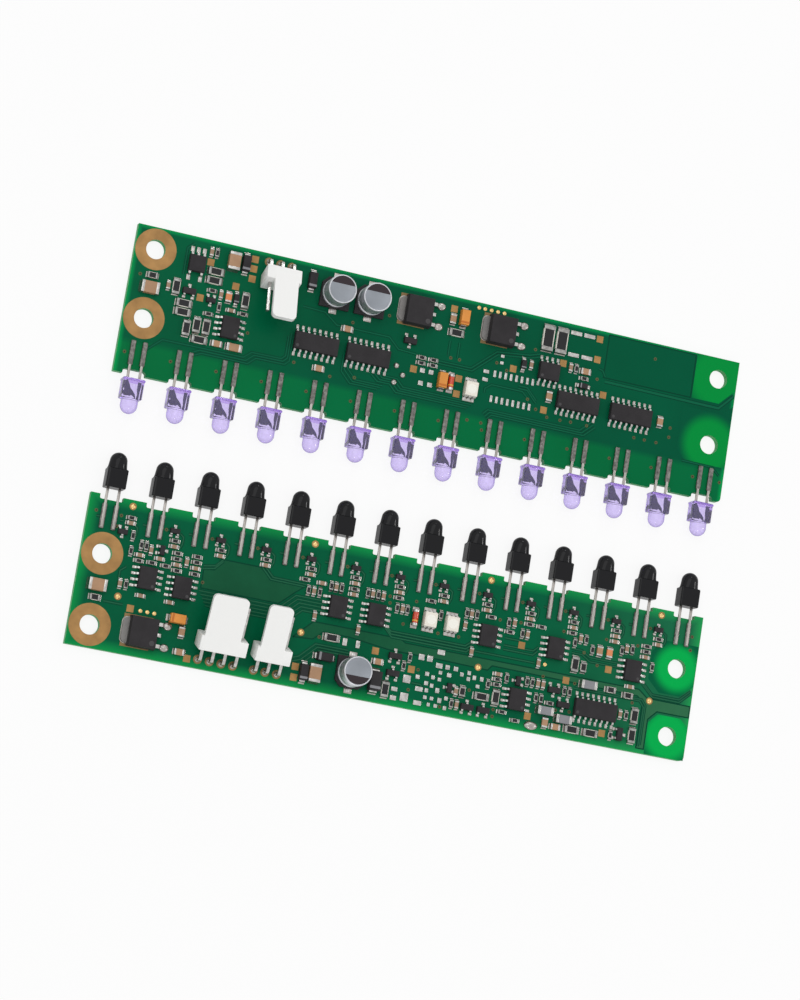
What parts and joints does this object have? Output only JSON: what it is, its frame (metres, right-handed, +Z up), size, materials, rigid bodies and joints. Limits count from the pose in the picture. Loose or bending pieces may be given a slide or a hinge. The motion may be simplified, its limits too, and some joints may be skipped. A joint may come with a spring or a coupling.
{
  "type": "area sensor",
  "caption": "Through-beam area sensor: an emitter board and a receiver board with facing rows of lenses, plug headers and surface-mount parts.",
  "frame": {"origin": "centre of the gap between the two boards, at the level of their undersides", "axes": "+X along the boards, the header end at -X; +Y from the receiver board to the emitter board; +Z up, out of the component side"},
  "size_m": [0.139, 0.09, 0.0103],
  "materials": {
    "solder_mask": "gloss green solder mask over glass-epoxy laminate",
    "lamp_epoxy": "tinted clear epoxy",
    "sensor_epoxy": "near-black infrared-pass epoxy",
    "tinned_metal": "tin plate",
    "header_nylon": "moulded, satin",
    "can_aluminium": "drawn, satin",
    "base_plastic": "moulded",
    "mould_compound": "moulded, matt",
    "resistor_film": "overglaze",
    "capacitor_ceramic": "fired",
    "block_ceramic": "fired",
    "tantalum_epoxy": "moulded",
    "diode_glass": "clear over a red body",
    "status_resin": "diffusing"
  },
  "bodies": {
    "root": {"emitter_board": "solder_mask", "emitter_capacitor_bases": "base_plastic", "emitter_capacitor_cans": "can_aluminium", "emitter_capacitor_tabs": "tinned_metal", "emitter_ceramic_capacitors": "capacitor_ceramic", "emitter_chip_pins": "tinned_metal", "emitter_diodes": "mould_compound", "emitter_driver_chips": "mould_compound", "emitter_glass_diode": "diode_glass", "emitter_header_housing": "header_nylon", "emitter_header_pins": "tinned_metal", "emitter_lamp_leads": "tinned_metal", "emitter_lamp_lenses": "lamp_epoxy", "emitter_logic_chips": "mould_compound", "emitter_power_resistors": "resistor_film", "emitter_regulator_bodies": "mould_compound", "emitter_regulator_leads": "tinned_metal", "emitter_regulator_tabs": "tinned_metal", "emitter_resistors": "resistor_film", "emitter_status_lamp": "status_resin", "emitter_tantalum_capacitors": "tantalum_epoxy", "emitter_transistors": "mould_compound", "receiver_amplifier_chips": "mould_compound", "receiver_block_capacitors": "block_ceramic", "receiver_board": "solder_mask", "receiver_capacitor_base": "base_plastic", "receiver_capacitor_can": "can_aluminium", "receiver_capacitor_tabs": "tinned_metal", "receiver_ceramic_capacitors": "capacitor_ceramic", "receiver_chip_pins": "tinned_metal", "receiver_diodes": "mould_compound", "receiver_glass_diode": "diode_glass", "receiver_logic_chip": "mould_compound", "receiver_narrow_header_housing": "header_nylon", "receiver_narrow_header_pins": "tinned_metal", "receiver_regulator_body": "mould_compound", "receiver_regulator_leads": "tinned_metal", "receiver_regulator_tab": "tinned_metal", "receiver_resistors": "resistor_film", "receiver_sensor_leads": "tinned_metal", "receiver_sensor_lenses": "sensor_epoxy", "receiver_status_lamps": "status_resin", "receiver_tantalum_capacitor": "tantalum_epoxy", "receiver_transistors": "mould_compound", "receiver_wide_header_housing": "header_nylon", "receiver_wide_header_pins": "tinned_metal"}
  },
  "joints": []
}
